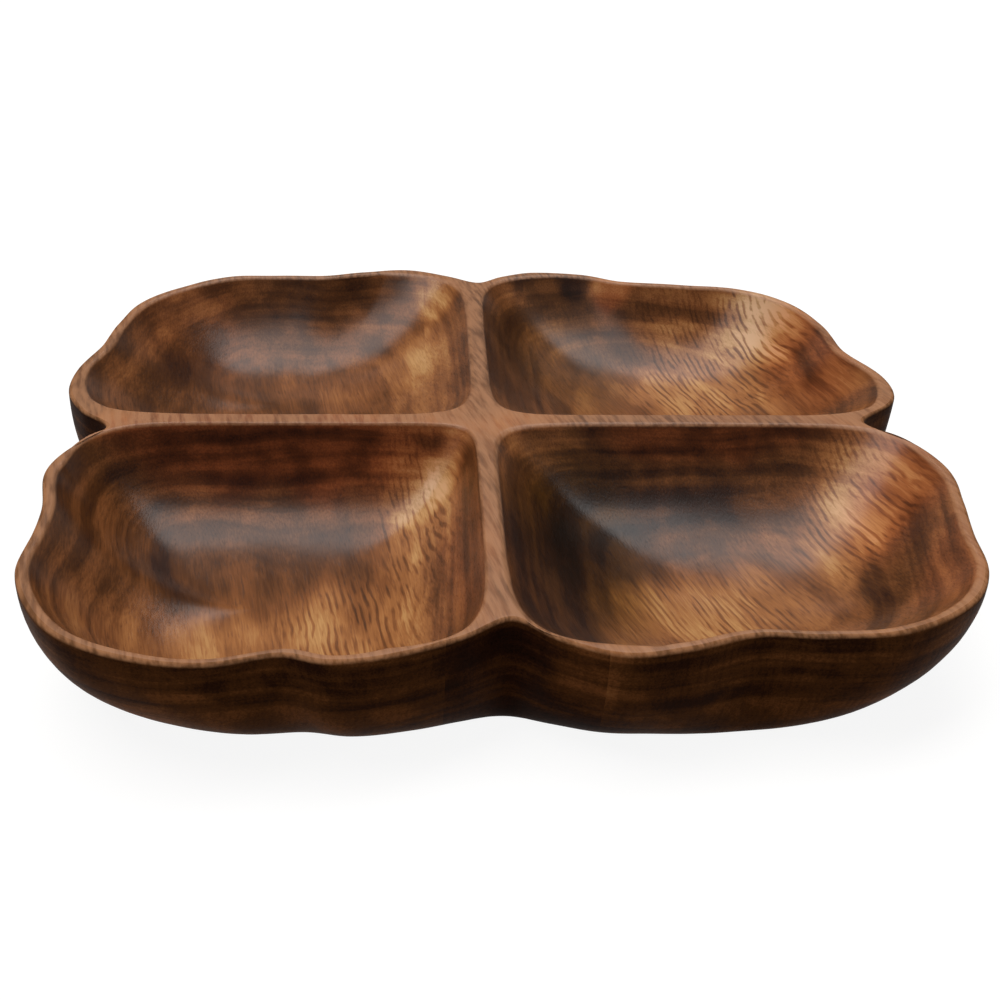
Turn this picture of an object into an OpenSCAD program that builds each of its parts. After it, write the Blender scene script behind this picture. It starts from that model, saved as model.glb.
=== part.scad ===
// Four-compartment serving tray, carved by hand from a glued-up wooden blank.
// The blank is a panel of seven boards, edge-glued side by side, with grain that runs front to back.
// Its lobed outline and its four bowls are carved after gluing, so each board carries a slice of both.
// The origin is at the middle of the tray on the surface that it stands on. +Y points to the back.

/* [Tray] */
// Overall width, left to right
tray_w = 305; // [270:1:360]
// Overall depth, front to back
tray_d = 305; // [270:1:360]
// Height from the flat base to the rim
tray_h = 40; // [36:1:60]

/* [Boards] */
// Width of each of the five inner boards
board_w = 43.6; // [38:0.1:48]

/* [Walls] */
// Thickness of the outer wall at the rim
rim_wall_t = 4; // [3:0.1:7]
// Thickness of the divider that runs left to right, at its top
cross_divider_t = 7.5; // [5:0.1:14]
// Thickness of the divider that runs front to back, at its top
long_divider_t = 5.5; // [5:0.1:14]

/* [Bowls] */
// Depth of the front left bowl below the rim
front_left_depth = 32; // [20:0.1:36]
// Depth of the front right bowl below the rim
front_right_depth = 31; // [20:0.1:31]
// Depth of the back left bowl below the rim
back_left_depth = 30; // [20:0.1:31]
// Depth of the back right bowl below the rim
back_right_depth = 30; // [20:0.1:31]

/* [Hidden] */
NODES = [
    "left_edge_board", "left_outer_board", "left_inner_board", "centre_board",
    "right_inner_board", "right_outer_board", "right_edge_board"
];

// The rim seen from above: [angle, radius share] about the outline's own centre, anticlockwise from +X.
// A share of 1 is about half the overall width or depth. The smallest shares are the divider ends.
RIM_SHARES = [
    [-1, 0.87], [6, 0.98], [14, 1.026], [24, 1.028], [33, 1.108], [41, 1.162], [49, 1.154],
    [56, 1.083], [65, 1.024], [72, 1.03], [80, 1.01], [85, 0.957], [89, 0.908], [94, 0.957],
    [100, 1.02], [107, 1.03], [114, 1.04], [120, 1.095], [126, 1.154], [133, 1.17], [141, 1.154],
    [149, 1.092], [156, 1.04], [164, 1.023], [172, 0.99], [178, 0.934], [183, 0.866], [188, 0.918],
    [195, 0.987], [204, 1.02], [210, 1.07], [216, 1.148], [223, 1.197], [229, 1.21], [236, 1.18],
    [241, 1.135], [246, 1.056], [251, 1.045], [257, 0.993], [263, 0.925], [269, 0.857], [274, 0.925],
    [280, 0.99], [287, 1.001], [295, 1.01], [301, 1.075], [308, 1.148], [316, 1.177], [323, 1.157],
    [330, 1.092], [337, 1.056], [345, 1.026], [352, 0.964]
];
// The edge of the flat base in the same way. It is rounder than the rim, so the wall's folds fade downwards.
FOOT_SHARES = [
    [5, 0.87], [25, 0.9], [41, 0.945], [56, 0.92], [72, 0.87], [89, 0.82], [106, 0.87], [122, 0.92],
    [136, 0.945], [150, 0.91], [170, 0.88], [185, 0.86], [198, 0.885], [210, 0.915], [220, 0.935],
    [230, 0.925], [240, 0.9], [250, 0.86], [258, 0.815], [264, 0.79], [270, 0.79], [277, 0.81],
    [285, 0.86], [295, 0.935], [306, 0.98], [318, 0.945], [328, 0.91], [340, 0.89], [352, 0.875]
];
// Where the dividers cross, from the outline's centre, as shares of half the width and depth
CROSSING_SHARES = [-0.02, -0.008];
// How far the long divider leans to the right for each unit that it runs to the back
LONG_DIVIDER_LEAN = 0.02;

// Each bowl: side of X, side of Y, flatness of its hollow, the same towards the tray's left or right end,
// tightness of the corner at the crossing, how round it grows towards its floor, and its depth
BOWLS = [
    [-1, -1, 5, 2.2, 12, 0.1, front_left_depth],
    [1, -1, 3, 3, 9, 0.6, front_right_depth],
    [-1, 1, 3.2, 2.1, 8, 0.4, back_left_depth],
    [1, 1, 3.2, 3.2, 9, 0.5, back_right_depth]
];
// The middle of a bowl, as shares of half the tray's width and depth
BOWL_MIDDLE_SHARES = [0.5, 0.49];
// Tightness of a bowl's corners at the divider ends
END_CORNER_TIGHTNESS = 5.3;
// Angle from a divider within which a bowl's outer side runs straight on and no longer follows the rim
SHOULDER_ANGLE = 14;

// Steps down the outer wall and round a bowl, and the rings of a bowl as shares of its reach.
// The last ring stands above the rim, so that the bowl cuts clean through the top.
WALL_STEPS = 7;
BOWL_STEPS = 48;
BOWL_RING_SHARES = [0.3, 0.48, 0.62, 0.73, 0.82, 0.9, 0.96, 1.03];
// A ray from a bowl's middle meets the wall nearer than this share, at a place found by halving
FAR_SHARE = 2;
HALVINGS = 14;
// How far the slabs that part the boards run past the blank
OVERRUN = 5;

// A smooth closed curve through a table of [angle, value], read at any angle
function entry(table, i) = let (n = len(table), turns = floor(i / n))
    [table[i - turns * n][0] + 360 * turns, table[i - turns * n][1]];
function slope(table, i) = let (p = entry(table, i - 1), q = entry(table, i + 1))
    (q[1] - p[1]) / (q[0] - p[0]);
function blend(table, i, t) =
    let (p = entry(table, i), q = entry(table, i + 1), span = q[0] - p[0],
         rise_p = slope(table, i) * span, rise_q = slope(table, i + 1) * span)
    (2 * t ^ 3 - 3 * t ^ 2 + 1) * p[1] + (t ^ 3 - 2 * t ^ 2 + t) * rise_p
    + (3 * t ^ 2 - 2 * t ^ 3) * q[1] + (t ^ 3 - t ^ 2) * rise_q;

// A table as [angle, share] with a step at each entry and one between each pair, and how to read it anywhere
STEP_SHARES = [0, 0.5];
function steps_of(table) = [for (i = [0 : len(table) - 1]) for (t = STEP_SHARES)
    let (a = entry(table, i)[0], b = entry(table, i + 1)[0]) [a + t * (b - a), blend(table, i, t)]];
function closed(steps) = [for (i = [0 : len(steps)]) entry(steps, i)];
function share_at(steps, a) = let (first = steps[0][0])
    lookup(first + ((a - first) % 360 + 360) % 360, steps);
rim_steps = steps_of(RIM_SHARES);
rim_lookup = closed(rim_steps);
foot_lookup = closed(steps_of(FOOT_SHARES));
function rim_share(a) = share_at(rim_lookup, a);

// The outline's box sets its scale and its place: the shares are multiplied by unit_x and unit_y
unit_rim = [for (s = rim_steps) s[1] * [cos(s[0]), sin(s[0])]];
low = [for (k = [0, 1]) min([for (p = unit_rim) p[k]])];
high = [for (k = [0, 1]) max([for (p = unit_rim) p[k]])];
unit_x = tray_w / (high[0] - low[0]);
unit_y = tray_d / (high[1] - low[1]);
unit_mean = (unit_x + unit_y) / 2;
middle = (low + high) / 2;
function placed(p, z) = [unit_x * (p[0] - middle[0]), unit_y * (p[1] - middle[1]), z];

// The outer wall: a quarter round from the upright rim down to the flat base, down one step of the rim
function wall_point(s, down) =
    let (foot = share_at(foot_lookup, s[0]), r = foot + (s[1] - foot) * cos(down))
    placed(r * [cos(s[0]), sin(s[0])], tray_h * (1 - sin(down)));

// Joins rings of points into a closed skin. The rings rise, and run anticlockwise seen from above.
module skin(rings) {
    n = len(rings[0]);
    m = len(rings);
    sides = [for (k = [0 : m - 2]) for (i = [0 : n - 1]) let (j = (i + 1) % n)
        for (t = [[k * n + i, (k + 1) * n + i, (k + 1) * n + j], [k * n + i, (k + 1) * n + j, k * n + j]]) t];
    polyhedron(
        points = [for (ring = rings) each ring],
        faces = concat(
            [[for (i = [0 : n - 1]) i]], sides, [[for (i = [n - 1 : -1 : 0]) (m - 1) * n + i]]
        ),
        convexity = 8
    );
}

module blank() {
    skin([for (k = [WALL_STEPS : -1 : 0]) [for (s = rim_steps) wall_point(s, 90 * k / WALL_STEPS)]]);
}

// Whether a point of a bowl's own quarter, in shares, lies past the inner face of the outer wall
wall_share = rim_wall_t / unit_mean;
function side_line(a, side) = (rim_share(turned(a, side)) - wall_share) * cos(SHOULDER_ANGLE);
function turned(a, side) = side[0] > 0 ? side[1] * a : 180 - side[1] * a;
function past_wall(p, side, line_x, line_y) = let (a = atan2(p[1], p[0]))
    a > -90 && a < SHOULDER_ANGLE ? p[0] > line_x
    : a < -90 || a > 90 - SHOULDER_ANGLE ? p[1] > line_y
    : norm(p) > rim_share(turned(a, side)) - wall_share;
function ray(c, u, side, line_x, line_y, near, far, left) =
    left == 0 ? near : let (mid = (near + far) / 2) past_wall(c + mid * u, side, line_x, line_y)
        ? ray(c, u, side, line_x, line_y, near, mid, left - 1)
        : ray(c, u, side, line_x, line_y, mid, far, left - 1);

// How far a bowl's rim lies from its middle at an angle: up to the nearest of both dividers and the wall,
// joined by power means that round the corners between them
function reach(side, c, tightness, phi, line_x, line_y) =
    let (u = [cos(phi), sin(phi)], lean = side[0] * side[1] * LONG_DIVIDER_LEAN,
         long_edge = side[0] * CROSSING_SHARES[0] + long_divider_t / 2 / unit_x,
         cross_edge = side[1] * CROSSING_SHARES[1] + cross_divider_t / 2 / unit_y,
         to_long = max(0, lean * u[1] - u[0]) / (c[0] - lean * c[1] - long_edge),
         to_cross = max(0, -u[1]) / (c[1] - cross_edge),
         to_wall = 1 / ray(c, u, side, line_x, line_y, 0, FAR_SHARE, HALVINGS),
         inner = (to_long ^ tightness + to_cross ^ tightness) ^ (1 / tightness))
    (inner ^ END_CORNER_TIGHTNESS + to_wall ^ END_CORNER_TIGHTNESS) ^ (-1 / END_CORNER_TIGHTNESS);

module bowl(b) {
    side = [b[0], b[1]];
    line_x = side_line(SHOULDER_ANGLE, side);
    line_y = side_line(90 - SHOULDER_ANGLE, side);
    round_way = b[0] * b[1] > 0 ? [0 : BOWL_STEPS - 1] : [BOWL_STEPS - 1 : -1 : 0];
    angles = [for (i = round_way) 360 * i / BOWL_STEPS];
    reaches = [for (a = angles) reach(side, BOWL_MIDDLE_SHARES, b[4], a, line_x, line_y)];
    mean_reach = reaches * [for (r = reaches) 1] / BOWL_STEPS;
    flatness = [for (a = angles) b[2] + (b[3] - b[2]) * max(0, cos(a)) ^ 2];
    skin([for (share = BOWL_RING_SHARES) let (round = b[5] * max(0, 1 - share))
        [for (i = [0 : BOWL_STEPS - 1])
            let (r = share * (reaches[i] * (1 - round) + mean_reach * round),
                 p = BOWL_MIDDLE_SHARES + r * [cos(angles[i]), sin(angles[i])])
            placed([b[0] * p[0], b[1] * p[1]], tray_h - b[6] * (1 - share ^ flatness[i]))]]);
}

// One board of the blank, carved. Board 0 is at the left edge, and the edge boards take what is left.
module board(i) {
    count = len(NODES);
    from = i == 0 ? -tray_w / 2 - OVERRUN : (i - count / 2) * board_w;
    to = i == count - 1 ? tray_w / 2 + OVERRUN : (i + 1 - count / 2) * board_w;
    difference() {
        intersection() {
            blank();
            translate([from, -tray_d / 2 - OVERRUN, -OVERRUN])
                cube([to - from, tray_d + 2 * OVERRUN, tray_h + 2 * OVERRUN]);
        }
        for (b = BOWLS) if (b[0] < 0 ? from < 0 : to > 0) bowl(b);
    }
}

module left_edge_board() { color("#5a2f1c") board(0); }
module left_outer_board() { color("#8a4f2c") board(1); }
module left_inner_board() { color("#a86a3a") board(2); }
module centre_board() { color("#4a2818") board(3); }
module right_inner_board() { color("#b07a45") board(4); }
module right_outer_board() { color("#a0643a") board(5); }
module right_edge_board() { color("#6e3a20") board(6); }

left_edge_board();
left_outer_board();
left_inner_board();
centre_board();
right_inner_board();
right_outer_board();
right_edge_board();
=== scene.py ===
"""Looks of a carved wooden serving tray with four bowls.

The tray is a panel of seven boards, glued edge to edge and then carved. One smooth surface follows the sizes
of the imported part: four bowls, the flat web of rims and dividers between them, the rounded outer wall and the
base. It is sawn at the glue planes, so each board is a closed piece of its own and stands for its CAD node.
Lengths are in millimetres here and become metres when a mesh is made.
"""

from __future__ import annotations

import logging
import math
from dataclasses import dataclass, replace
from enum import Enum
from typing import Any

import bmesh
import bpy
import numpy as np
from mathutils import Matrix, Vector, geometry

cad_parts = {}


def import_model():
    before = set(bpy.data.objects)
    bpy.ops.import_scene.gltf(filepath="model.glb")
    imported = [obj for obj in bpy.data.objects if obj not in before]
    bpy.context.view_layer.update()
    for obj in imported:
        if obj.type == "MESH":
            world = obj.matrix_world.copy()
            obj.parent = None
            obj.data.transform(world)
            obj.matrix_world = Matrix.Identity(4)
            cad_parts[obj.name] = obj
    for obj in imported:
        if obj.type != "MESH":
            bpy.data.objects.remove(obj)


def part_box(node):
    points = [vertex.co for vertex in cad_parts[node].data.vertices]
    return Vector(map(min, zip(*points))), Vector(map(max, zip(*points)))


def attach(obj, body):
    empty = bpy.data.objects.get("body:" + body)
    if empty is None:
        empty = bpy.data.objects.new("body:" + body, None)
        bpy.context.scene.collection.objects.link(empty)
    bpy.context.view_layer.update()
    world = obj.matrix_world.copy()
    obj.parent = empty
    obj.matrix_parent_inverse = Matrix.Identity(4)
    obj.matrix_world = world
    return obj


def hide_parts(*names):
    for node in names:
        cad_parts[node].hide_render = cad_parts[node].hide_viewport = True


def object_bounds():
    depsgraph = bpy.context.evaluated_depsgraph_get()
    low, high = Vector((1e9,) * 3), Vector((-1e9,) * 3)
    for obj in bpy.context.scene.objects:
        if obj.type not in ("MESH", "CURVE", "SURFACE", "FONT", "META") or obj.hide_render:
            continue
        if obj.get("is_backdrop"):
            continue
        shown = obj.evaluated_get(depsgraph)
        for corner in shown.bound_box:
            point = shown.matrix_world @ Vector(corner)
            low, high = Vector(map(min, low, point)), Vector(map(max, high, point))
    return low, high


LOG = logging.getLogger("tray")
MM = 0.001


def linear(code: str) -> tuple[float, float, float, float]:
    """Turns an sRGB hex colour to the linear colour that Blender's sockets take.

    Args:
        code: The colour as "#rrggbb".

    Returns:
        Red, green, blue and an alpha of 1.
    """
    shares = [int(code[i : i + 2], 16) / 255 for i in (1, 3, 5)]
    red, green, blue = [s / 12.92 if s <= 0.04045 else ((s + 0.055) / 1.055) ** 2.4 for s in shares]
    return red, green, blue, 1.0


def add(tree: bpy.types.NodeTree, kind: str, inputs: dict[Any, Any] | None = None, **settings: Any) -> Any:
    """Adds a shader node with its settings and links.

    Args:
        tree: The node tree that takes the node.
        kind: Blender's name of the node's type.
        inputs: What goes into each input, by name or number: a value, an output, or a node for its first
            output.
        settings: Properties of the node itself.

    Returns:
        The new node.
    """
    made = tree.nodes.new(kind)
    for name, value in settings.items():
        setattr(made, name, value)
    for socket, value in (inputs or {}).items():
        source = value.outputs[0] if isinstance(value, bpy.types.Node) else value
        if isinstance(source, bpy.types.NodeSocket):
            tree.links.new(source, made.inputs[socket])
        else:
            made.inputs[socket].default_value = source
    return made


# The shape of the tray

# The rim seen from above: (angle in degrees, radius share) about the outline's centre, anticlockwise from +X
RIM_SHARES = (
    (-1, 0.87), (6, 0.98), (14, 1.026), (24, 1.028), (33, 1.108), (41, 1.162), (49, 1.154),
    (56, 1.083), (65, 1.024), (72, 1.03), (80, 1.01), (85, 0.957), (89, 0.908), (94, 0.957),
    (100, 1.02), (107, 1.03), (114, 1.04), (120, 1.095), (126, 1.154), (133, 1.17), (141, 1.154),
    (149, 1.092), (156, 1.04), (164, 1.023), (172, 0.99), (178, 0.934), (183, 0.866), (188, 0.918),
    (195, 0.987), (204, 1.02), (210, 1.07), (216, 1.148), (223, 1.197), (229, 1.21), (236, 1.18),
    (241, 1.135), (246, 1.056), (251, 1.045), (257, 0.993), (263, 0.925), (269, 0.857), (274, 0.925),
    (280, 0.99), (287, 1.001), (295, 1.01), (301, 1.075), (308, 1.148), (316, 1.177), (323, 1.157),
    (330, 1.092), (337, 1.056), (345, 1.026), (352, 0.964),
)
# The edge of the flat base in the same way. It is rounder than the rim, so the wall's folds fade downwards
FOOT_SHARES = (
    (5, 0.87), (25, 0.9), (41, 0.945), (56, 0.92), (72, 0.87), (89, 0.82), (106, 0.87), (122, 0.92),
    (136, 0.945), (150, 0.91), (170, 0.88), (185, 0.86), (198, 0.885), (210, 0.915), (220, 0.935),
    (230, 0.925), (240, 0.9), (250, 0.86), (258, 0.815), (264, 0.79), (270, 0.79), (277, 0.81),
    (285, 0.86), (295, 0.935), (306, 0.98), (318, 0.945), (328, 0.91), (340, 0.89), (352, 0.875),
)


def smooth_step(values: np.ndarray, low: float, high: float) -> np.ndarray:
    """An S-shaped rise from 0 at low to 1 at high: 3t squared less 2t cubed."""
    t = np.clip((values - low) / (high - low), 0, 1)
    return t * t * (3 - 2 * t)


def ripple(
    x: np.ndarray, y: np.ndarray, period: float, seed: int, waves: int = 9, shortest: float = 0.3
) -> np.ndarray:
    """Gently uneven heights, as a hand scraper leaves them.

    The value is a weighted mean of plane sine waves, whose directions, lengths and phases come from the seed.
    A wave weighs as much as it is long, so short ones are as steep as long ones.

    Args:
        x: X of each point.
        y: Y of each point.
        period: The longest wave's length.
        seed: Picks the waves, the same each run.
        waves: How many there are.
        shortest: The shortest wave as a share of the longest.

    Returns:
        A value between -1 and 1 for each point.
    """
    draw = np.random.default_rng(seed)
    total = np.zeros_like(x)
    lengths = np.linspace(shortest, 1.0, waves)
    for length in lengths:
        turn, phase = draw.uniform(0, math.tau, 2)
        ahead = x * math.cos(turn) + y * math.sin(turn)
        total += length * np.sin(math.tau * ahead / (period * length) + phase)
    return total / lengths.sum()


@dataclass
class TrayForm:
    """The tray's outline, outer wall and dividers, with the same rules as the part's own."""

    width: float
    depth: float
    height: float
    rim_wall: float = 4.0
    long_divider: float = 5.5
    cross_divider: float = 7.5
    crossing_shares: tuple[float, float] = (-0.02, -0.008)
    long_divider_lean: float = 0.02
    bowl_middle_shares: tuple[float, float] = (0.5, 0.49)
    end_corner_tightness: float = 5.3
    shoulder_angle: float = 14.0
    angle_step: float = 0.25  # degrees between the places where the outline's extent is read

    def __post_init__(self) -> None:
        """Works out the scale and the middle from the outline's own extent."""
        angles = np.arange(0, 360, self.angle_step)
        share = self.share_at(RIM_SHARES, angles)
        across, along = share * np.cos(np.radians(angles)), share * np.sin(np.radians(angles))
        self.unit_x = self.width / np.ptp(across)
        self.unit_y = self.depth / np.ptp(along)
        self.unit_mean = (self.unit_x + self.unit_y) / 2
        self.middle = ((across.min() + across.max()) / 2, (along.min() + along.max()) / 2)

    @staticmethod
    def share_at(shares: tuple[tuple[float, float], ...], angle: np.ndarray) -> np.ndarray:
        """Radius share of a closed curve at angles in degrees.

        Cubic arcs join the table's entries, and the slope at an entry is that of the chord between its
        neighbours.

        Args:
            shares: The curve as pairs of an angle and a radius share, by rising angle.
            angle: Where the curve is read.

        Returns:
            The radius share at each angle.
        """
        table = np.array(shares)
        knots = np.concatenate([table[-2:, 0] - 360, table[:, 0], table[:2, 0] + 360])
        values = np.concatenate([table[-2:, 1], table[:, 1], table[:2, 1]])
        slopes = (values[2:] - values[:-2]) / (knots[2:] - knots[:-2])
        turned = (np.asarray(angle, float) - table[0, 0]) % 360 + table[0, 0]
        i = np.clip(np.searchsorted(knots, turned, side="right") - 1, 1, len(knots) - 3)
        span = knots[i + 1] - knots[i]
        t = (turned - knots[i]) / span
        ahead = t * t * (3 - 2 * t)
        return (
            (1 - ahead) * values[i]
            + ahead * values[i + 1]
            + span * slopes[i - 1] * (t**3 - 2 * t**2 + t)
            + span * slopes[i] * (t**3 - t**2)
        )

    def rim_share(self, angle: np.ndarray) -> np.ndarray:
        """Radius share of the rim at angles in degrees."""
        return self.share_at(RIM_SHARES, angle)

    def placed(self, across: np.ndarray, along: np.ndarray) -> tuple[np.ndarray, np.ndarray]:
        """X and Y in millimetres of points given as shares."""
        return self.unit_x * (across - self.middle[0]), self.unit_y * (along - self.middle[1])

    def wall_ring(self, angle: np.ndarray, share: np.ndarray, height: float) -> np.ndarray:
        """A ring of the outer wall at one height, as rows of X, Y, Z."""
        x, y = self.placed(share * np.cos(np.radians(angle)), share * np.sin(np.radians(angle)))
        return np.stack([x, y, np.full_like(x, height)], axis=1)


@dataclass
class BowlForm:
    """One carved bowl: which side of X and Y it is on, its depth and the character of its hollow."""

    side_x: int
    side_y: int
    depth: float
    flatness: float
    end_flatness: float
    tightness: float
    roundness: float
    halvings: int = 20
    farthest: float = 2.0  # a share that lies past the wall from anywhere

    def flatness_at(self, angle: np.ndarray) -> np.ndarray:
        """The hollow's flatness at angles in radians: end_flatness outwards along X, flatness elsewhere."""
        return self.flatness + (self.end_flatness - self.flatness) * np.maximum(0, np.cos(angle)) ** 2

    def turned(self, angle: np.ndarray) -> np.ndarray:
        """An angle of the bowl's own quarter as an angle of the whole tray."""
        return self.side_y * angle if self.side_x > 0 else 180 - self.side_y * angle

    def past_wall(self, form: TrayForm, across: np.ndarray, along: np.ndarray) -> np.ndarray:
        """Tells which points lie past the outer wall's inner face.

        Up to the shoulders beside each divider's end the face is a straight line. Beyond them it follows the
        rim.

        Args:
            form: The tray's outline and wall.
            across: Shares along X from the tray's middle, towards the bowl.
            along: Shares along Y from the tray's middle, towards the bowl.

        Returns:
            True for each point past the face.
        """
        angle = np.degrees(np.arctan2(along, across))
        wall = form.rim_wall / form.unit_mean
        shoulder = form.shoulder_angle
        ends = self.turned(np.array([shoulder, 90 - shoulder]))
        line_x, line_y = (form.rim_share(ends) - wall) * math.cos(math.radians(shoulder))
        beside_x = (angle > -90) & (angle < shoulder)
        beside_y = (angle < -90) | (angle > 90 - shoulder)
        beyond = np.hypot(across, along) > form.rim_share(self.turned(angle)) - wall
        return np.where(beside_x, across > line_x, np.where(beside_y, along > line_y, beyond))

    def reach(self, form: TrayForm, angle: np.ndarray, eased: int = 0) -> np.ndarray:
        """How far the bowl's rim lies from its middle, in shares.

        The inverse distances to the two dividers and the wall are joined by power means, which round the
        corners between them. The wall is found along each ray by halving.

        Args:
            form: The tray's outline, wall and dividers.
            angle: Angles in radians, all the way round.
            eased: How many angles to each side the wall's distance is averaged over, to soften its folds.

        Returns:
            The distance at each angle.
        """
        middle_x, middle_y = form.bowl_middle_shares
        step_x, step_y = np.cos(angle), np.sin(angle)
        near, far = np.zeros_like(angle), np.full_like(angle, self.farthest)
        for _ in range(self.halvings):
            mid = (near + far) / 2
            past = self.past_wall(form, middle_x + mid * step_x, middle_y + mid * step_y)
            near, far = np.where(past, near, mid), np.where(past, mid, far)
        if eased:
            weights = np.hanning(2 * eased + 3)[1:-1]
            wrapped = np.concatenate([near[-eased:], near, near[:eased]])
            near = np.convolve(wrapped, weights / weights.sum(), "valid")
        lean = self.side_x * self.side_y * form.long_divider_lean
        long_edge = self.side_x * form.crossing_shares[0] + form.long_divider / 2 / form.unit_x
        cross_edge = self.side_y * form.crossing_shares[1] + form.cross_divider / 2 / form.unit_y
        to_long = np.maximum(0, lean * step_y - step_x) / (middle_x - lean * middle_y - long_edge)
        to_cross = np.maximum(0, -step_y) / (middle_y - cross_edge)
        inner = (to_long**self.tightness + to_cross**self.tightness) ** (1 / self.tightness)
        power = form.end_corner_tightness
        return (inner**power + (1 / near) ** power) ** (-1 / power)


@dataclass
class Patch:
    """Part of a surface: its points and its faces, as rows of point numbers."""

    points: np.ndarray
    faces: list[list[int]]
    outside: bool = False


def ring_patch(rings: np.ndarray, outside: bool = False) -> Patch:
    """Joins closed rings of points with four-sided faces, and closes the first ring on a pole in its middle.

    Args:
        rings: An array of rings by points by X, Y, Z.
        outside: True for the tray's outer wall.

    Returns:
        The patch. The pole comes last among its points.
    """
    count, around = rings.shape[:2]
    row, column = np.meshgrid(np.arange(count - 1), np.arange(around), indexing="ij")
    ahead = (column + 1) % around
    here, above = row * around, (row + 1) * around
    quads = np.stack([here + column, above + column, above + ahead, here + ahead], axis=-1).reshape(-1, 4)
    first = np.arange(around)
    fan = np.stack([np.full(around, count * around), first, (first + 1) % around], axis=1)
    points = np.vstack([rings.reshape(-1, 3), rings[0].mean(axis=0)[None]])
    return Patch(points, quads.tolist() + fan.tolist(), outside)


@dataclass
class Skin:
    """The tray's whole surface as triangles in metres, with its smooth normals and which side faces out."""

    points: np.ndarray
    normals: np.ndarray
    triangles: np.ndarray
    outside: np.ndarray


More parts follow.
